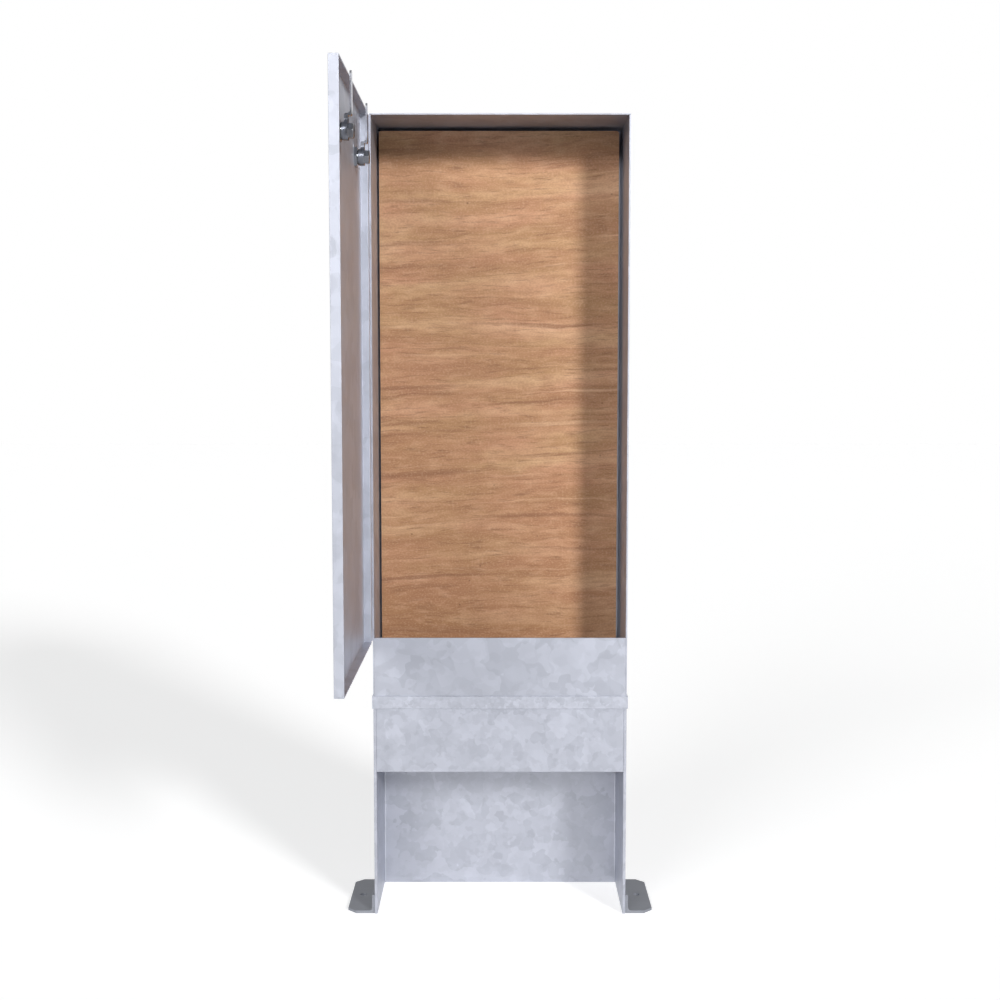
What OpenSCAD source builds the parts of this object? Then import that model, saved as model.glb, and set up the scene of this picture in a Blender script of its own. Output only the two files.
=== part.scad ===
// Feeder pillar: a galvanised folded-sheet cabinet on a plate root, drawn with its door open.
// Millimetres, +Z up, front towards -Y. The origin is on the ground midway between the foot holes.

/* [Body] */
// Outside width of the cabinet and the root
body_w = 350; // [330:1:420]
// Outside depth of the cabinet and the root
body_d = 132; // [130:1:170]
// Height from the ground to the top of the roof
body_h = 1098.8; // [1060:0.2:1300]
// Height of the joint between root and cabinet
root_h = 300; // [285:1:315]
// Sheet of the cabinet, roof, fascia and door
sheet_t = 2; // [1.5:0.25:2.5]
// Plate of the root and the feet
root_t = 4; // [3:0.5:5]
// Outside radius of the two back corners
corner_r = 6; // [5.5:0.5:9]

/* [Front] */
// Height of the fascia above the joint
fascia_h = 90; // [80:1:94]
// Height of the root front panel below the joint
root_panel_h = 98; // [40:1:180]
// Height of the band round the joint
band_h = 17.5; // [10:0.5:24]
// Thickness of the band round the joint
band_t = 1.5; // [1:0.25:2.5]

/* [Feet] */
// Length of the foot leg out from the root wall
foot_leg = 38.5; // [34:0.5:60]
// Height of the foot upright
foot_up = 26; // [18:1:60]
// Length of each foot along the depth
foot_len = 128; // [90:1:132]
// Chamfer on the outer foot corners
foot_chamfer = 12; // [4:1:16]
// Fillet in the angle of the foot
foot_fillet = 3; // [1:0.5:5]
// Foot hole diameter
foot_hole_d = 9; // [7:0.5:12]
// Foot hole centre out from the root wall
foot_hole_off = 21.6; // [18:0.2:26]

/* [Board] */
// Thickness of the plywood board
board_t = 18; // [12:1:19]
// Gap between the board and the hinge-side wall
board_gap_hinge = 2.8; // [1:0.1:8]
// Gap between the board and the free-side wall
board_gap_free = 5.7; // [1:0.1:8]
// Gap between the board and the roof
board_gap_top = 4.8; // [3:0.1:12]
// Height of the board's lower edge above the joint
board_lift = 28; // [10:1:30]
// Corner radius of the board
board_r = 4; // [1:0.5:10]

/* [Board fixing] */
// Sheet of the rails behind the board
rail_t = 2; // [1.5:0.5:2]
// Inside radius of the rail bends
rail_r = 1; // [0.5:0.25:1.25]
// Space between the board and the back sheet
rail_d = 14; // [12:0.5:30]
// Length of the rails
rail_len = 290; // [270:1:300]
// Height of the lower rail
rail_h = 40; // [30:1:44]
// Upper rail seat below the board's top edge
hook_drop = 60; // [45:1:120]
// Depth of the hook engagement
hook_h = 20; // [14:1:26]
// Height of the hook plates
hook_plate_h = 30; // [26:1:34]
// Space between the hook plates
hook_air = 2; // [1:0.5:2]
// Shank diameter of the board screws
board_screw_d = 6; // [4:0.5:8]
// Distance between the board screws
board_screw_pitch = 240; // [160:1:250]
// Shank diameter of the hanger screws
hanger_screw_d = 4; // [3:0.5:5]
// Depth of the hanger screws in the board
hanger_screw_in = 9; // [6:0.5:11]
// Distance between neighbouring hanger screws
hanger_screw_pitch = 110; // [80:1:125]

/* [Door] */
// Height of the door
door_h = 714.6; // [712:0.2:790]
// Depth of the door tray
door_d = 12; // [11.5:0.25:16]
// Air between the closed door and the front plane
door_gap = 0.9; // [0.5:0.1:1.2]
// Outside radius of the door folds
door_edge_r = 0.8; // [0.5:0.1:2]
// Inside radius of the door folds
door_fold_r = 0.4; // [0.2:0.1:1]

/* [Hinge] */
// Outside diameter of the hinge knuckles
knuckle_d = 6; // [5.6:0.1:6.2]
// Diameter of the hinge pin
pin_d = 3; // [2:0.25:3.25]
// Air between knuckles and the sheets beside them
hinge_gap = 0.4; // [0.35:0.05:0.6]
// Air between neighbouring knuckles
knuckle_air = 0.5; // [0.35:0.05:1]
// Number of knuckles
knuckle_n = 15; // [7:2:21]
// Hinge end in from the door end
hinge_end = 2; // [2:1:60]
// Thickness of the hinge leaves
leaf_t = 1.6; // [1.4:0.1:1.8]
// Width of the leaf on the cabinet wall
frame_leaf_w = 14; // [8:0.5:30]
// Width of the leaf on the door edge
door_leaf_w = 2.6; // [2:0.1:2.6]

/* [Locks] */
// Lock centre in from the side edges of the door
lock_inset = 77; // [74:0.5:120]
// Lock centre below the top of the door
lock_drop = 70.8; // [70.8:0.2:140]
// Diameter of the threaded housing
housing_d = 18.5; // [18:0.25:19.5]
// Length of the housing inside the door
housing_in = 3.8; // [3.8:0.1:6]
// Diameter of the outer housing flange
flange_d = 28; // [25:0.5:34]
// Thickness of the outer housing flange
flange_t = 3; // [2.6:0.1:5]
// Chamfer on the rim of the outer housing flange
flange_chamfer = 0.8; // [0.2:0.1:1.2]
// Nut size across flats
nut_af = 24; // [22:0.5:27]
// Nut thickness
nut_t = 3.5; // [2.5:0.25:3.5]
// Rounding of the nut's rim
nut_round = 1.4; // [0.6:0.1:1.8]
// Spindle diameter
spindle_d = 14; // [13:0.25:14.5]
// Diameter of the spindle head
spindle_head_d = 19; // [16:0.25:20]
// Housing metal left under the spindle head
head_floor = 1; // [0.6:0.1:1.2]
// Circle round the triangular key recess
key_d = 9; // [6:0.5:11]
// Depth of the triangular key recess
key_in = 3.6; // [2:0.1:3.8]
// Square of the spindle end, across flats
square_w = 9.5; // [8.5:0.25:9.75]

/* [Cams] */
// Diameter of the cam hub
hub_d = 22; // [21:0.5:28]
// Thickness of the cam hub and arm
hub_t = 4.6; // [3.6:0.1:5]
// Length of the boss behind the hub
boss_t = 3.6; // [2:0.1:5]
// Diameter of the small end of the boss
boss_d = 20; // [18:0.5:22]
// Fillet between the hub and the arm
hub_fillet = 8; // [2:0.5:9]
// Width of the cam arm and tip
cam_w = 10; // [8:0.5:16]
// Thickness of the cam shelf and tip
cam_t = 2.3; // [2.2:0.1:3]
// Cam tip above the lock centre
cam_reach = 68.2; // [50:0.2:68.2]
// Height of the shelf's lower face above the lock centre
crank_z = 17.2; // [15:0.1:24]
// Offset of the cam tip from the back of its hub
crank_off = 6.6; // [6.2:0.1:10]
// Outside radius of the crank corners
crank_r = 2; // [0.5:0.1:2.2]
// Fillet in the crank corners
crank_fillet = 0.8; // [0.3:0.1:1.2]
// Cam bolt head across flats
bolt_af = 16; // [13:0.5:17]
// Cam bolt head height
bolt_head_h = 6.4; // [4:0.2:8]
// Rounding of the cam bolt head's rim
bolt_round = 2.4; // [0.8:0.1:3]
// Shank diameter of the cam bolt
bolt_d = 6; // [5:0.25:6.5]
// Length of the cam bolt shank
bolt_len = 10; // [7:0.5:11]

/* [Fits] */
// Radial play of turning and screwed pieces
run_fit = 0.05; // [0.03:0.01:0.08]
// Radial play of the screws and the housings in their holes
hole_fit = 0.25; // [0.15:0.05:0.5]
// End play of the spindles
end_play = 0.3; // [0.3:0.05:0.5]

/* [Hidden] */
$fn = 64;
cut = 1;
hex_sides = 6;
key_sides = 3;
door_open = 90;

y_front = -body_d / 2;
y_back = body_d / 2;
roof_z = body_h - sheet_t;
cab_in_w = body_w - 2 * sheet_t;
root_in_w = body_w - 2 * root_t;

board_w = cab_in_w - board_gap_hinge - board_gap_free;
board_x = (board_gap_hinge - board_gap_free) / 2;
board_back_y = y_back - sheet_t - rail_d;
board_y = board_back_y - board_t;
board_z = root_h + board_lift;
board_h = roof_z - board_gap_top - board_z;
rail_z = board_z;
board_screw_z = rail_z + rail_h / 2;
board_screw_head_d = 2 * board_screw_d;
board_screw_head_h = board_screw_d * 0.6;
hook_z = board_z + board_h - hook_drop;
hanger_screw_z = hook_z + hook_plate_h / 2;
hanger_screw_head_d = 2 * hanger_screw_d;
hanger_screw_head_h = hanger_screw_d * 0.6;

door_z = body_h - door_h;
door_tip_y = y_front - door_gap;
door_in_y = door_tip_y - door_d + sheet_t;
door_out_y = door_tip_y - door_d;

hinge_off = knuckle_d / 2 + hinge_gap;
hinge_x = -body_w / 2 - hinge_off;
hinge_y = y_front - hinge_off;
hinge_z = door_z + hinge_end;
hinge_h = door_h - 2 * hinge_end;
knuckle_pitch = hinge_h / knuckle_n;

lock_x = body_w / 2 - lock_inset;
lock_z = body_h - lock_drop;
head_t = flange_t - end_play - head_floor;
cam_in = housing_in + end_play;
arm_in = cam_in + boss_t;
bolt_in = arm_in + hub_t;

// Rectangle from y = 0 to d, its two far corners rounded
module plan(w, d, r) {
    translate([-w / 2, 0]) square([w, d - r]);
    translate([-w / 2 + r, 0]) square([w - 2 * r, d]);
    for (s = [-1, 1]) translate([s * (w / 2 - r), d - r]) circle(r);
}

// Rectangle centred on the origin with four rounded corners
module rounded(w, h, r) {
    square([w - 2 * r, h], center = true);
    square([w, h - 2 * r], center = true);
    for (s = [-1, 1], v = [-1, 1]) translate([s * (w / 2 - r), v * (h / 2 - r)]) circle(r);
}

// Folded back and side walls in plan, open to the front
module channel_plan(t) {
    translate([0, y_front]) difference() {
        plan(body_w, body_d, corner_r);
        translate([0, -cut]) plan(body_w - 2 * t, body_d - t + cut, corner_r - t);
    }
}

// Profile drawn in depth and height, run along the width
module along_width(length) {
    translate([-length / 2, 0, 0]) rotate([90, 0, 90]) linear_extrude(length) children();
}

// Quarter ring of a bend about its centre
module bend_ring(t, r) {
    intersection() {
        difference() {
            circle(r + t);
            circle(r);
        }
        square(r + t);
    }
}

// Folded strip in section: straight legs with a right-angle bend after each, left for 1 and right for -1
module folded(legs, turns, t, r, i = 0) {
    square([legs[i], t]);
    if (i < len(turns)) {
        left = turns[i] > 0;
        translate([legs[i], left ? t + r : -r]) {
            rotate(left ? -90 : 0) bend_ring(t, r);
            translate([left ? t + r : r, 0]) rotate(turns[i] * 90) folded(legs, turns, t, r, i + 1);
        }
    }
}

// Metal left in an inner corner at the origin by its fillet
module corner_fillet(r) {
    difference() {
        square(r);
        translate([r, r]) circle(r);
    }
}

// Cylinder along the depth from y = 0
module depth_rod(d, length) {
    rotate([-90, 0, 0]) cylinder(d = d, h = length);
}

// Round screw head, its flat on y = 0 and its crown towards -y
module round_head(d, h) {
    crown_r = (d * d / 4 + h * h) / (2 * h);
    intersection() {
        translate([0, -h, 0]) depth_rod(d + cut, h);
        translate([0, crown_r - h, 0]) sphere(crown_r);
    }
}

// Hexagon along the depth from y = 0, its far rim rounded
module hex_block(af, h, r) {
    hex_r = af / 2 / cos(180 / hex_sides);
    rim_r = hex_r + run_fit;
    rotate([-90, 0, 0]) intersection() {
        cylinder(r = hex_r, h = h, $fn = hex_sides);
        rotate_extrude() {
            square([rim_r, h - r]);
            square([rim_r - r, h]);
            translate([rim_r - r, h - r]) circle(r);
        }
    }
}

// Block with rounded front edges, its back on y = 0
module pan(w, h, d, r) {
    intersection() {
        rotate([0, 0, 180]) linear_extrude(h, center = true) plan(w, d, r);
        rotate([180, -90, 0]) linear_extrude(w, center = true) plan(h, d, r);
    }
}

// Turns the closed door about its hinge to the open position
module swing() {
    translate([hinge_x, hinge_y, 0])
        rotate([0, 0, -door_open])
            translate([-hinge_x, -hinge_y, 0]) children();
}

// Places a lock piece on the door, its axis inwards from the inner face
module at_lock(side) {
    swing() translate([side * lock_x, door_in_y, lock_z]) children();
}

module cabinet_shell() {
    color("silver") translate([0, 0, root_h]) linear_extrude(roof_z - root_h) channel_plan(sheet_t);
}

module roof_panel() {
    color("silver") translate([0, y_front, roof_z]) linear_extrude(sheet_t) plan(body_w, body_d, corner_r);
}

module front_fascia() {
    color("silver") translate([-cab_in_w / 2, y_front, root_h]) cube([cab_in_w, sheet_t, fascia_h]);
}

module ground_band() {
    color("lightgray") translate([0, 0, root_h - band_h / 2]) linear_extrude(band_h) difference() {
        translate([0, y_front - band_t])
            plan(body_w + 2 * band_t, body_d + 2 * band_t, corner_r + band_t);
        translate([0, y_front]) plan(body_w, body_d, corner_r);
    }
}

module root_frame() {
    color("lightgray") linear_extrude(root_h) channel_plan(root_t);
}

module root_front_panel() {
    color("lightgray") translate([-root_in_w / 2, y_front, root_h - root_panel_h])
        cube([root_in_w, root_t, root_panel_h]);
}

// Rolled angle in section, its heel on the root wall
module foot_section() {
    square([foot_leg, root_t]);
    square([root_t, foot_up]);
    translate([root_t, root_t]) corner_fillet(foot_fillet);
}

module foot() {
    difference() {
        rotate([90, 0, 0]) linear_extrude(foot_len, center = true) foot_section();
        for (v = [-1, 1]) translate([foot_leg, v * foot_len / 2, -cut])
            linear_extrude(root_t + 2 * cut) rotate(45)
                square(foot_chamfer * sqrt(2), center = true);
        translate([foot_hole_off, 0, -cut]) cylinder(d = foot_hole_d, h = root_t + 2 * cut);
    }
}

module right_foot() {
    color("darkgray") translate([body_w / 2, 0, 0]) foot();
}

module left_foot() {
    color("darkgray") mirror([1, 0, 0]) translate([body_w / 2, 0, 0]) foot();
}

module board_screw_places() {
    for (s = [-1, 1]) translate([s * board_screw_pitch / 2, board_y, board_screw_z]) children();
}

module hanger_screw_places() {
    for (s = [-1 : 1]) translate([s * hanger_screw_pitch, board_back_y, hanger_screw_z]) children();
}

module backboard() {
    color("burlywood") difference() {
        translate([board_x, board_back_y, board_z + board_h / 2]) rotate([90, 0, 0])
            linear_extrude(board_t) rounded(board_w, board_h, board_r);
        board_screw_places() translate([0, -cut, 0])
            depth_rod(board_screw_d + 2 * hole_fit, board_t + 2 * cut);
        hanger_screw_places() translate([0, -hanger_screw_in - end_play, 0])
            depth_rod(hanger_screw_d + 2 * run_fit, hanger_screw_in + end_play + cut);
    }
}

// Upstand hook welded to the back sheet
module upper_board_rail() {
    lip = rail_t + hook_air;
    bend = rail_t + rail_r;
    legs = [hook_h - rail_r, rail_d - lip - 2 * bend, hook_plate_h - bend];
    color("gray") along_width(rail_len) translate([board_back_y + lip, hook_z])
        rotate(-90) folded(legs, [1, -1], rail_t, rail_r);
}

// Hook on the back of the board, its shelf resting on the upper rail
module board_hanger() {
    reach = 2 * (rail_t + hook_air) + rail_t;
    bend = rail_t + rail_r;
    legs = [hook_plate_h - bend, reach - 2 * bend, hook_h - hook_air - rail_r];
    color("gray") difference() {
        along_width(rail_len) translate([board_back_y, hook_z + hook_plate_h])
            rotate(-90) folded(legs, [1, -1], rail_t, rail_r);
        hanger_screw_places() translate([0, -cut, 0])
            depth_rod(hanger_screw_d + 2 * run_fit, rail_t + 2 * cut);
    }
}

module hanger_screws() {
    color("dimgray") hanger_screw_places() {
        translate([0, -hanger_screw_in, 0]) depth_rod(hanger_screw_d, hanger_screw_in + rail_t + cut);
        translate([0, rail_t, 0]) mirror([0, 1, 0]) round_head(hanger_screw_head_d, hanger_screw_head_h);
    }
}

// Channel between the board and the back sheet
module lower_board_rail() {
    bend = rail_t + rail_r;
    legs = [rail_d - bend, rail_h - 2 * bend, rail_d - bend];
    color("gray") difference() {
        along_width(rail_len) translate([board_back_y + rail_d, rail_z + rail_t])
            rotate(180) folded(legs, [-1, -1], rail_t, rail_r);
        board_screw_places() translate([0, board_t - cut, 0])
            depth_rod(board_screw_d + 2 * run_fit, rail_t + 2 * cut);
    }
}

module board_screws() {
    color("dimgray") board_screw_places() {
        translate([0, -cut, 0]) depth_rod(board_screw_d, cut + board_t + 2 * rail_t);
        round_head(board_screw_head_d, board_screw_head_h);
    }
}

module door_tray() {
    color("silver") swing() difference() {
        translate([0, door_tip_y, door_z + door_h / 2]) difference() {
            pan(body_w, door_h, door_d, door_edge_r);
            translate([0, cut, 0])
                pan(body_w - 2 * sheet_t, door_h - 2 * sheet_t, door_d - sheet_t + cut, door_fold_r);
        }
        for (s = [-1, 1]) translate([s * lock_x, door_out_y - cut, lock_z])
            depth_rod(housing_d + 2 * hole_fit, sheet_t + 2 * cut);
    }
}

// Every second knuckle of the hinge, from the first one given
module knuckle_places(first) {
    for (i = [first : 2 : knuckle_n - 1])
        translate([0, 0, hinge_z + i * knuckle_pitch + knuckle_air / 2]) children();
}

module knuckles(first) {
    knuckle_places(first) translate([hinge_x, hinge_y, 0])
        cylinder(d = knuckle_d, h = knuckle_pitch - knuckle_air);
}

module pin_bore() {
    translate([hinge_x, hinge_y, hinge_z - cut]) cylinder(d = pin_d + 2 * run_fit, h = hinge_h + 2 * cut);
}

module hinge_frame_leaf() {
    color("gainsboro") difference() {
        union() {
            translate([-body_w / 2 - leaf_t, y_front, hinge_z]) cube([leaf_t, frame_leaf_w, hinge_h]);
            knuckle_places(0) translate([-body_w / 2 - leaf_t, hinge_y, 0])
                cube([leaf_t - hinge_gap, hinge_off + leaf_t, knuckle_pitch - knuckle_air]);
            knuckles(0);
        }
        pin_bore();
    }
}

module hinge_door_leaf() {
    color("gainsboro") swing() difference() {
        union() {
            translate([-body_w / 2 - leaf_t, hinge_y - hinge_off - door_leaf_w, hinge_z])
                cube([leaf_t, door_leaf_w, hinge_h]);
            knuckle_places(1) translate([-body_w / 2 - leaf_t, hinge_y - hinge_off - leaf_t, 0])
                cube([leaf_t, hinge_off + leaf_t, knuckle_pitch - knuckle_air]);
            knuckles(1);
        }
        pin_bore();
    }
}

module hinge_pin() {
    color("dimgray") translate([hinge_x, hinge_y, hinge_z]) cylinder(d = pin_d, h = hinge_h);
}

// Outer flange of a lock body, its rim chamfered
module flange() {
    rotate([-90, 0, 0]) cylinder(d1 = flange_d - 2 * flange_chamfer, d2 = flange_d, h = flange_chamfer);
    translate([0, flange_chamfer, 0]) depth_rod(flange_d, flange_t - flange_chamfer);
}

// Threaded lock body with its outer flange, sunk for the spindle head
module housing() {
    difference() {
        union() {
            translate([0, -sheet_t - flange_t, 0]) flange();
            translate([0, -sheet_t - cut, 0]) depth_rod(housing_d, sheet_t + housing_in + cut);
        }
        translate([0, -sheet_t - flange_t - cut, 0])
            depth_rod(spindle_d + 2 * run_fit, sheet_t + flange_t + housing_in + 2 * cut);
        translate([0, -sheet_t - flange_t - cut, 0])
            depth_rod(spindle_head_d + 2 * end_play, head_t + end_play + cut);
    }
}

module nut() {
    difference() {
        hex_block(nut_af, nut_t, nut_round);
        translate([0, -cut, 0]) depth_rod(housing_d + 2 * run_fit, nut_t + 2 * cut);
    }
}

// Turning spindle: head with a triangular key recess, shaft, square end and tapped hole
module spindle() {
    difference() {
        union() {
            translate([0, -sheet_t - flange_t, 0]) depth_rod(spindle_head_d, head_t);
            translate([0, -sheet_t - flange_t, 0]) depth_rod(spindle_d, sheet_t + flange_t + cam_in);
            translate([-square_w / 2, cam_in - cut, -square_w / 2])
                cube([square_w, cut + boss_t + hub_t - end_play, square_w]);
        }
        translate([0, -sheet_t - flange_t - cut, 0]) rotate([-90, 0, 0])
            cylinder(d = key_d, h = key_in + cut, $fn = key_sides);
        translate([0, bolt_in - bolt_len - end_play, 0])
            depth_rod(bolt_d + 2 * run_fit, bolt_len + end_play + cut);
    }
}

// Cranked cam in depth and height: hub and arm, shelf, tip
module crank_section() {
    shelf_top = crank_z + cam_t;
    shelf_end = crank_off + cam_t;
    translate([0, -hub_d / 2]) square([hub_t, hub_d / 2 + shelf_top - crank_r]);
    translate([crank_r, shelf_top - crank_r]) circle(crank_r);
    translate([crank_r, crank_z]) square([shelf_end - 2 * crank_r, cam_t]);
    translate([shelf_end - crank_r, crank_z + crank_r]) circle(crank_r);
    translate([crank_off, crank_z + crank_r]) square([cam_t, cam_reach - crank_z - crank_r]);
    translate([hub_t, crank_z]) mirror([0, 1]) corner_fillet(crank_fillet);
    translate([crank_off, shelf_top]) mirror([1, 0]) corner_fillet(crank_fillet);
}

// Fillet between the round hub and one side of the arm
module hub_fillet_patch() {
    side = cam_w / 2 + hub_fillet;
    reach = hub_d / 2 + hub_fillet;
    up = sqrt(reach * reach - side * side);
    share = hub_d / 2 / reach;
    difference() {
        translate([0, up * share]) square([side * share, up - up * share]);
        translate([side, up]) circle(hub_fillet);
    }
}

// Outline of the cam facing along the lock axis, hub at the origin
module cam_outline() {
    circle(d = hub_d);
    translate([-cam_w / 2, 0]) square([cam_w, cam_reach - cam_w / 2]);
    translate([0, cam_reach - cam_w / 2]) circle(d = cam_w);
    for (s = [0, 1]) mirror([s, 0]) hub_fillet_patch();
}

module cam() {
    hole_w = square_w + 2 * run_fit;
    translate([0, arm_in, 0]) difference() {
        union() {
            intersection() {
                along_width(hub_d) crank_section();
                translate([0, crank_off + cam_t + cut, 0]) rotate([90, 0, 0])
                    linear_extrude(crank_off + cam_t + 2 * cut) cam_outline();
            }
            rotate([90, 0, 0]) cylinder(d1 = hub_d, d2 = boss_d, h = boss_t);
        }
        translate([-hole_w / 2, -boss_t - cut, -hole_w / 2]) cube([hole_w, boss_t + hub_t + 2 * cut, hole_w]);
    }
}

module bolt() {
    translate([0, bolt_in, 0]) {
        hex_block(bolt_af, bolt_head_h, bolt_round);
        translate([0, -bolt_len, 0]) depth_rod(bolt_d, bolt_len + cut);
    }
}

module hinge_side_housing() {
    color("gray") at_lock(-1) housing();
}

module hinge_side_nut() {
    color("gray") at_lock(-1) nut();
}

module hinge_side_spindle() {
    color("dimgray") at_lock(-1) spindle();
}

module hinge_side_cam() {
    color("gainsboro") at_lock(-1) cam();
}

module hinge_side_bolt() {
    color("gray") at_lock(-1) bolt();
}

module free_side_housing() {
    color("gray") at_lock(1) housing();
}

module free_side_nut() {
    color("gray") at_lock(1) nut();
}

module free_side_spindle() {
    color("dimgray") at_lock(1) spindle();
}

module free_side_cam() {
    color("gainsboro") at_lock(1) cam();
}

module free_side_bolt() {
    color("gray") at_lock(1) bolt();
}

cabinet_shell();
roof_panel();
front_fascia();
ground_band();
root_frame();
root_front_panel();
left_foot();
right_foot();
backboard();
upper_board_rail();
board_hanger();
hanger_screws();
lower_board_rail();
board_screws();
door_tray();
hinge_frame_leaf();
hinge_door_leaf();
hinge_pin();
hinge_side_housing();
hinge_side_nut();
hinge_side_spindle();
hinge_side_cam();
hinge_side_bolt();
free_side_housing();
free_side_nut();
free_side_spindle();
free_side_cam();
free_side_bolt();
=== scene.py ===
import math

import bpy
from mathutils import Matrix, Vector


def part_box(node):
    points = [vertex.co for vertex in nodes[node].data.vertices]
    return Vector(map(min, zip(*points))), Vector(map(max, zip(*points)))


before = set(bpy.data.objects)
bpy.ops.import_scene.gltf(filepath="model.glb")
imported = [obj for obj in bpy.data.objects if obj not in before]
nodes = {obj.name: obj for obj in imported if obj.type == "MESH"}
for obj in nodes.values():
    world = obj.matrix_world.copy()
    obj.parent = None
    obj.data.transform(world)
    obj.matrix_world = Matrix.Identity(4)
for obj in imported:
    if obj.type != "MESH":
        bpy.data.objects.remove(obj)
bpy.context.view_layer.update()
mm = 0.001

# Camera: straight in front of the cabinet, tilted down a little
CAMERA_LENS = 52.02
CAMERA_SENSOR = 36
CAMERA_BACK = 1.9656
CAMERA_HEIGHT = 0.7425
CAMERA_TILT = math.radians(4.715)

# Light: a key from the right, a softer one from the left, two weak strips behind the board, and the room
KEY_STRENGTH = 2.45
KEY_SPREAD = math.radians(10)
KEY_SIDE = math.radians(32)
KEY_RISE = math.radians(22)
FILL_STRENGTH = 1.4
FILL_SPREAD = math.radians(26)
FILL_SIDE = math.radians(-30)
FILL_RISE = math.radians(22)
GAP_GLOW_LEFT = 0.45
GAP_GLOW_RIGHT = 1.1
GAP_STRIP = 10 * mm
GAP_STRIP_BACK = 2 * mm
GAP_STRIP_SHARE = 0.9
ROOM_TINT = (0.97, 0.985, 1, 1)
ROOM_STRENGTH = 0.09
ROOM_SIDE = 0.85
ROOM_TOP = 0.3
FLOOR_HALF = 15
FLOOR_ALBEDO = 0.62
FLOOR_GLOW = 0.66

# Zinc: the sizes of its crystals on sheet, plate and narrow pieces, and its shine
SHEET_CRYSTAL = 34 * mm
PLATE_CRYSTAL = 22 * mm
STRIP_CRYSTAL = 9 * mm
ZINC_METALLIC = 0.85
ZINC_ROUGH = 0.47

# Edges: how far each kind is eased, and what counts as one
SHEET_EASE = 0.3 * mm
PLATE_EASE = 0.5 * mm
LOCK_EASE = 0.3 * mm
HEXAGON_EASE = 0.5 * mm
BOARD_EASE = 0.5 * mm
EASE_STEPS = 2
EASE_ANGLE = math.radians(35)
FLAT_ANGLE = math.radians(0.5)
WELD_GAP = 0.002 * mm

# The plywood's grain climbs a little to the right, and the cams are painted lighter above their cranks, a
# painted highlight for the reflection their tips show
GRAIN_RISE = math.radians(2)
CAM_TIP_FROM = 1.049


def linear(red, green, blue):
    """A colour written in 0 to 255 display values, as the linear values that shaders take."""
    def one(value):
        share = value / 255
        return share / 12.92 if share <= 0.04045 else ((share + 0.055) / 1.055) ** 2.4
    return (one(red), one(green), one(blue), 1)


def add(tree, kind, inputs=None, **properties):
    """Adds a shader node, sets its properties, then sets or links its inputs."""
    made = tree.nodes.new("ShaderNode" + kind)
    for name, value in properties.items():
        setattr(made, name, value)
    for name, value in (inputs or {}).items():
        if isinstance(value, bpy.types.NodeSocket):
            tree.links.new(value, made.inputs[name])
        else:
            made.inputs[name].default_value = value
    return made


def maths(tree, operation, first, second):
    """The result of a maths node on two numbers or sockets."""
    return add(tree, "Math", {0: first, 1: second}, operation=operation).outputs[0]


def spread(tree, value, low, high, from_low=0, from_high=1):
    """A value from one range, clamped and moved to another."""
    inputs = {"Value": value, "From Min": from_low, "From Max": from_high, "To Min": low, "To Max": high}
    return add(tree, "MapRange", inputs).outputs[0]


def mix(tree, factor, first, second):
    """Two colours mixed by a varying factor, on the colour sockets of a mix node."""
    return add(tree, "Mix", {0: factor, 6: first, 7: second}, data_type="RGBA").outputs[2]


def stretched(tree, scale, offset=(0, 0, 0)):
    """Object coordinates scaled along each axis."""
    place = add(tree, "TexCoord").outputs["Object"]
    return add(tree, "Mapping", {"Vector": place, "Scale": scale, "Location": offset}).outputs[0]


def noise(tree, vector, scale=1.0, detail=3.0, roughness=0.5):
    """A noise texture, with its value and colour as outputs."""
    inputs = {"Vector": vector, "Scale": scale, "Detail": detail, "Roughness": roughness}
    return add(tree, "TexNoise", inputs)


def new_material(name):
    """A material with a bare Principled shader, and its tree and shader."""
    made = bpy.data.materials.new(name)
    made.use_nodes = True
    shader = made.node_tree.nodes["Principled BSDF"]
    return made, made.node_tree, shader


def wire(tree, shader, **sockets):
    """Sets or links the shader's sockets, named with underscores for spaces."""
    for name, value in sockets.items():
        socket = shader.inputs[name.replace("_", " ")]
        if isinstance(value, bpy.types.NodeSocket):
            tree.links.new(value, socket)
        else:
            socket.default_value = value


def bump(tree, height, strength, distance):
    """A bump normal from a height."""
    inputs = {"Height": height, "Strength": strength, "Distance": distance}
    return add(tree, "Bump", inputs).outputs[0]


def cell_tone(tree, size, ragged, offset):
    """One random tone per zinc crystal, with crystals of about the given size and curved outlines."""
    place = stretched(tree, (1 / size,) * 3, offset)
    warp = noise(tree, place, scale=1.3, detail=1.5).outputs["Color"]
    centred = add(tree, "VectorMath", {0: warp, 1: (0.5, 0.5, 0.5)}, operation="SUBTRACT").outputs[0]
    pushed = add(tree, "VectorMath", {0: centred, "Scale": ragged}, operation="SCALE").outputs[0]
    moved = add(tree, "VectorMath", {0: place, 1: pushed}, operation="ADD").outputs[0]
    cells = add(tree, "TexVoronoi", {"Vector": moved, "Scale": 1.0})
    return add(tree, "SeparateColor", {0: cells.outputs["Color"]}).outputs[0]


def galvanised(name, crystal, dark, light):
    """Hot-dipped zinc: crystals in two sizes, each with its own tone and gloss."""
    made, tree, shader = new_material(name)
    large = cell_tone(tree, crystal, 1.6, (3.1, 1.7, 0.4))
    small = cell_tone(tree, crystal * 0.45, 1.5, (0.6, 5.2, 2.3))
    cloud = noise(tree, stretched(tree, (9, 9, 9)), detail=2).outputs[0]
    tone = maths(tree, "ADD", maths(tree, "MULTIPLY", large, 0.55), maths(tree, "MULTIPLY", small, 0.35))
    tone = maths(tree, "ADD", tone, maths(tree, "MULTIPLY", cloud, 0.1))
    gloss = spread(tree, small, ZINC_ROUGH - 0.04, ZINC_ROUGH + 0.05)
    grain = noise(tree, stretched(tree, (900, 900, 900)), detail=2).outputs[0]
    wire(
        tree, shader, Base_Color=mix(tree, tone, dark, light), Metallic=ZINC_METALLIC, Roughness=gloss,
        Normal=bump(tree, grain, 0.05, 0.2 * mm),
    )
    return made


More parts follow.
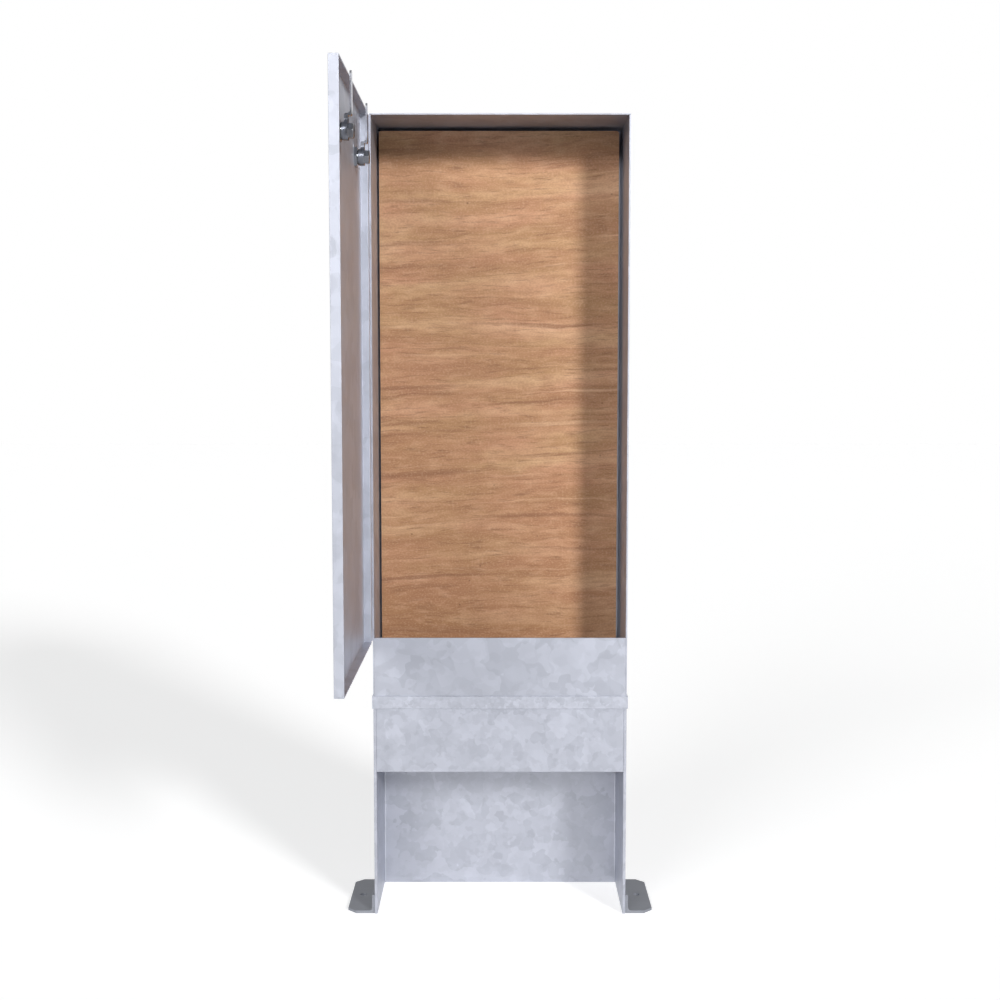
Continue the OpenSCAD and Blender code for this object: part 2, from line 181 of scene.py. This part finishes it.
def brushed_steel(name):
    """Plain rolled steel, with fine lines along the width."""
    made, tree, shader = new_material(name)
    lines = noise(tree, stretched(tree, (14, 700, 700)), detail=3, roughness=0.6).outputs[0]
    cloud = noise(tree, stretched(tree, (25, 25, 25)), detail=3).outputs[0]
    tone = maths(tree, "ADD", maths(tree, "MULTIPLY", lines, 0.6), maths(tree, "MULTIPLY", cloud, 0.4))
    wire(
        tree, shader, Base_Color=mix(tree, tone, linear(122, 125, 133), linear(164, 167, 176)),
        Metallic=0.55, Roughness=spread(tree, lines, 0.34, 0.5), Normal=bump(tree, lines, 0.1, 0.1 * mm),
    )
    return made


def turned_metal(name, dark, light, rough, highlight_from=None):
    """Turned or cast lock metal with fine marks and a faint bloom, painted lighter above a given height as a
    painted highlight.
    """
    made, tree, shader = new_material(name)
    marks = noise(tree, stretched(tree, (1600, 400, 400)), detail=3).outputs[0]
    bloom = noise(tree, stretched(tree, (120, 120, 120)), detail=3).outputs[0]
    base = mix(tree, bloom, dark, light)
    if highlight_from:
        # Painted highlight: the metal turns light above the given height, standing in for the reflection on
        # the cam tips
        height = add(tree, "SeparateXYZ", {0: add(tree, "TexCoord").outputs["Object"]}).outputs["Z"]
        tip_highlight = spread(tree, height, 0, 1, highlight_from, highlight_from + 6 * mm)
        base = mix(tree, tip_highlight, base, mix(tree, bloom, linear(206, 208, 216), linear(226, 228, 236)))
    wire(
        tree, shader, Base_Color=base, Metallic=1, Roughness=spread(tree, marks, rough - 0.05, rough + 0.07),
        Normal=bump(tree, marks, 0.06, 0.05 * mm),
    )
    return made


def plywood(name):
    """Hardwood-faced plywood: soft bands along the width, blotches, strokes, dots, painted shade that darkens
    it towards the bottom, and plies on the edges.
    """
    made, tree, shader = new_material(name)
    place = add(tree, "TexCoord").outputs["Object"]
    flow = place
    for scale, lift in ((3, 3, 7), 0.03), ((22, 22, 70), 0.007):
        wave = noise(tree, stretched(tree, scale), detail=2).outputs["Color"]
        wave = add(tree, "VectorMath", {0: wave, 1: (0, 0, lift)}, operation="MULTIPLY").outputs[0]
        flow = add(tree, "VectorMath", {0: flow, 1: wave}, operation="ADD").outputs[0]
    flow = add(tree, "Mapping", {"Vector": flow, "Rotation": (0, GRAIN_RISE, 0)}).outputs[0]

    def along(x, z, detail, roughness=0.5):
        scaled = add(tree, "Mapping", {"Vector": flow, "Scale": (x, 1, z)}).outputs[0]
        return noise(tree, scaled, detail=detail, roughness=roughness).outputs[0]

    band = along(3.2, 34, 4)
    blotch = along(36, 120, 3)
    speck = along(330, 520, 2)
    stroke = along(26, 300, 3, 0.6)
    streak = along(3.2, 105, 4)
    height = add(tree, "SeparateXYZ", {0: place}).outputs["Z"]
    dots = add(tree, "TexVoronoi", {"Vector": stretched(tree, (26, 26, 26)), "Scale": 1.0}).outputs["Distance"]
    tint = spread(tree, along(6, 26, 2), 0, 1, 0.38, 0.62)
    base = mix(tree, tint, linear(193, 141, 105), linear(185, 142, 98))
    shades = (  # what each follows, where it starts, where it is full, how much then, and its colour
        # The first row is painted shade: the board darkens towards its bottom
        (height, 0.64, 0.42, 0.6, (160, 112, 75)),
        (band, 0.44, 0.7, 0.75, (158, 110, 74)),
        (band, 0.5, 0.3, 0.45, (226, 184, 146)),
        (blotch, 0.5, 0.75, 0.55, (162, 115, 80)),
        (blotch, 0.5, 0.25, 0.35, (224, 181, 144)),
        (stroke, 0.54, 0.71, 0.64, (126, 84, 55)),
        (streak, 0.57, 0.7, 0.65, (134, 88, 59)),
        (streak, 0.38, 0.26, 0.5, (232, 192, 154)),
        (speck, 0.5, 0.3, 0.3, (156, 113, 84)),
        (speck, 0.5, 0.7, 0.25, (224, 183, 149)),
        (dots, 0.045, 0.02, 0.55, (98, 66, 46)),
    )
    for value, start, full, most, colour in shades:
        base = mix(tree, spread(tree, value, 0, most, start, full), base, linear(*colour))

    plies = add(tree, "TexWave", {
        "Vector": stretched(tree, (1, 345, 1)), "Scale": 0.5, "Distortion": 0.6, "Detail": 2,
    }, wave_type="BANDS", bands_direction="Y").outputs["Fac"]
    edge = mix(tree, spread(tree, plies, 0, 1, 0.4, 0.6), linear(176, 134, 96), linear(118, 82, 56))
    normal = add(tree, "TexCoord").outputs["Normal"]
    facing = maths(tree, "ABSOLUTE", add(tree, "SeparateXYZ", {0: normal}).outputs["Y"], 0)
    base = mix(tree, spread(tree, facing, 1, 0, 0.4, 0.6), base, edge)
    relief = maths(tree, "ADD", maths(tree, "MULTIPLY", streak, 0.5), stroke)
    wire(
        tree, shader, Base_Color=base, Roughness=spread(tree, streak, 0.5, 0.68),
        Normal=bump(tree, relief, 0.12, 0.3 * mm),
    )
    return made


def add_sun(name, strength, angle, side, rise):
    """A soft distant lamp; side is its angle right of the front, rise its height above the horizon."""
    lamp = bpy.data.lights.new(name, "SUN")
    lamp.energy = strength
    lamp.angle = angle
    made = bpy.data.objects.new(name, lamp)
    bpy.context.scene.collection.objects.link(made)
    travel = Vector((-math.sin(side) * math.cos(rise), math.cos(side) * math.cos(rise), -math.sin(rise)))
    made.rotation_euler = travel.to_track_quat("-Z", "Y").to_euler()


def add_gap_strip(side, glow):
    """A weak upright strip lamp behind one edge of the board, which lifts the narrow gap beside it."""
    low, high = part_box("backboard")
    lamp = bpy.data.lights.new("gap_strip", "AREA")
    lamp.shape = "RECTANGLE"
    lamp.size = GAP_STRIP
    lamp.size_y = GAP_STRIP_SHARE * (high.z - low.z)
    lamp.energy = glow * math.pi * lamp.size * lamp.size_y
    made = bpy.data.objects.new("gap_strip", lamp)
    edge = high.x if side > 0 else low.x
    made.location = (edge - side * GAP_STRIP, high.y + GAP_STRIP_BACK, (low.z + high.z) / 2)
    made.rotation_euler = (math.pi / 2, 0, 0)
    bpy.context.scene.collection.objects.link(made)


def seen_in_gloss(tree):
    """1 for rays off gloss or through glass, and 0 for the rest."""
    path = add(tree, "LightPath")
    return maths(tree, "MAXIMUM", path.outputs["Is Glossy Ray"], path.outputs["Is Transmission Ray"])


def seen_directly(tree):
    """1 for rays that show the background itself, plain or in gloss and glass, and 0 for the rest."""
    return maths(tree, "MAXIMUM", add(tree, "LightPath").outputs["Is Camera Ray"], seen_in_gloss(tree))


def make_room():
    """World light: white all round the object, in gloss too, where it dims towards the ceiling."""
    world = bpy.data.worlds.new("room")
    bpy.context.scene.world = world
    world.use_nodes = True
    tree = world.node_tree
    tree.nodes.clear()
    height = add(tree, "SeparateXYZ", {0: add(tree, "TexCoord").outputs["Generated"]}).outputs["Z"]
    gloss = maths(tree, "MULTIPLY", seen_in_gloss(tree), spread(tree, height, ROOM_SIDE, ROOM_TOP, 0.15, 0.7))
    shown = maths(tree, "MAXIMUM", add(tree, "LightPath").outputs["Is Camera Ray"], gloss)
    room = add(tree, "Background", {"Color": ROOM_TINT, "Strength": ROOM_STRENGTH})
    white = add(tree, "Background", {"Color": (1, 1, 1, 1), "Strength": shown})
    both = add(tree, "MixShader", {0: seen_directly(tree), 1: room.outputs[0], 2: white.outputs[0]})
    add(tree, "OutputWorld", {0: both.outputs[0]})


def make_floor():
    """A plain pale floor that keeps the object's shadow."""
    mesh = bpy.data.meshes.new("floor")
    corners = [(-1, -1), (1, -1), (1, 1), (-1, 1)]
    mesh.from_pydata([(x * FLOOR_HALF, y * FLOOR_HALF, 0) for x, y in corners], [], [(0, 1, 2, 3)])
    made = bpy.data.objects.new("floor", mesh)
    bpy.context.scene.collection.objects.link(made)
    material = bpy.data.materials.new("pale_floor")
    material.use_nodes = True
    tree = material.node_tree
    tree.nodes.clear()
    matt = add(tree, "BsdfDiffuse", {"Color": (FLOOR_ALBEDO,) * 3 + (1,)})
    glow = add(tree, "Emission", {"Strength": maths(tree, "MULTIPLY", seen_directly(tree), FLOOR_GLOW)})
    both = add(tree, "AddShader", {0: matt.outputs[0], 1: glow.outputs[0]})
    add(tree, "OutputMaterial", {0: both.outputs[0]})
    mesh.materials.append(material)


def make_camera():
    """The camera in front of the object."""
    data = bpy.data.cameras.new("camera")
    data.lens = CAMERA_LENS
    data.sensor_width = CAMERA_SENSOR
    made = bpy.data.objects.new("camera", data)
    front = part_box("front_fascia")[0].y
    made.location = (0, front - CAMERA_BACK, CAMERA_HEIGHT)
    made.rotation_euler = (math.pi / 2 - CAMERA_TILT, 0, 0)
    bpy.context.scene.collection.objects.link(made)
    bpy.context.scene.camera = made


def soften(width, *names):
    """Eases the sharp edges of some nodes, as folded, cut or cast metal has them."""
    for name in names:
        piece = nodes[name]
        weld = piece.modifiers.new("weld", "WELD")
        weld.merge_threshold = WELD_GAP
        flat = piece.modifiers.new("flat", "DECIMATE")
        flat.decimate_type = "DISSOLVE"
        flat.angle_limit = FLAT_ANGLE
        edge = piece.modifiers.new("edge", "BEVEL")
        edge.width = width
        edge.segments = EASE_STEPS
        edge.limit_method = "ANGLE"
        edge.angle_limit = EASE_ANGLE
        shade = piece.modifiers.new("shade", "WEIGHTED_NORMAL")
        shade.keep_sharp = False


def finish_nodes(material, *names):
    """Gives some nodes one material."""
    for name in names:
        slots = nodes[name].data.materials
        slots.clear()
        slots.append(material)


sheet = galvanised("galvanised_sheet", SHEET_CRYSTAL, linear(167, 170, 180), linear(187, 190, 201))
# The door's sheet is a lighter copy of the cabinet's: a painted highlight for the sheen its front edge catches
door_sheet = galvanised("galvanised_door", SHEET_CRYSTAL, linear(171, 174, 184), linear(192, 195, 206))
plate = galvanised("galvanised_plate", PLATE_CRYSTAL, linear(168, 171, 181), linear(189, 192, 203))
strip = galvanised("galvanised_strip", STRIP_CRYSTAL, linear(172, 175, 185), linear(193, 196, 207))
foot_steel = brushed_steel("foot_steel")
board = plywood("plywood")
lock_metal = turned_metal("lock_metal", linear(146, 148, 152), linear(162, 164, 168), 0.18)
cam_metal = turned_metal("cam_metal", linear(146, 148, 152), linear(162, 164, 168), 0.18, CAM_TIP_FROM)
screw_steel = turned_metal("screw_steel", linear(126, 128, 132), linear(158, 160, 164), 0.34)
# The hinge's zinc is lighter than the sheet's: painted light that lifts the shaded seam where its knuckles
# show
hinge_steel = galvanised("hinge_steel", STRIP_CRYSTAL, linear(187, 190, 200), linear(207, 210, 221))

finish_nodes(sheet, "cabinet_shell", "roof_panel", "front_fascia")
finish_nodes(door_sheet, "door_tray")
finish_nodes(plate, "root_frame", "root_front_panel")
finish_nodes(strip, "ground_band", "upper_board_rail", "board_hanger", "lower_board_rail")
finish_nodes(foot_steel, "left_foot", "right_foot")
finish_nodes(board, "backboard")
finish_nodes(screw_steel, "hanger_screws", "board_screws", "hinge_pin")
finish_nodes(hinge_steel, "hinge_frame_leaf", "hinge_door_leaf")
for lock in ("hinge_side", "free_side"):
    finish_nodes(lock_metal, lock + "_housing", lock + "_nut", lock + "_spindle", lock + "_bolt")
    finish_nodes(cam_metal, lock + "_cam")
    soften(HEXAGON_EASE, lock + "_nut", lock + "_bolt")
    soften(LOCK_EASE, lock + "_cam", lock + "_housing")

soften(SHEET_EASE, "cabinet_shell", "roof_panel", "front_fascia", "door_tray", "ground_band")
soften(PLATE_EASE, "root_frame", "root_front_panel", "left_foot", "right_foot")
soften(BOARD_EASE, "backboard")

make_room()
make_floor()
make_camera()
add_sun("key", KEY_STRENGTH, KEY_SPREAD, KEY_SIDE, KEY_RISE)
add_sun("fill", FILL_STRENGTH, FILL_SPREAD, FILL_SIDE, FILL_RISE)
add_gap_strip(-1, GAP_GLOW_LEFT)
add_gap_strip(1, GAP_GLOW_RIGHT)
bpy.context.scene.view_settings.view_transform = "Standard"
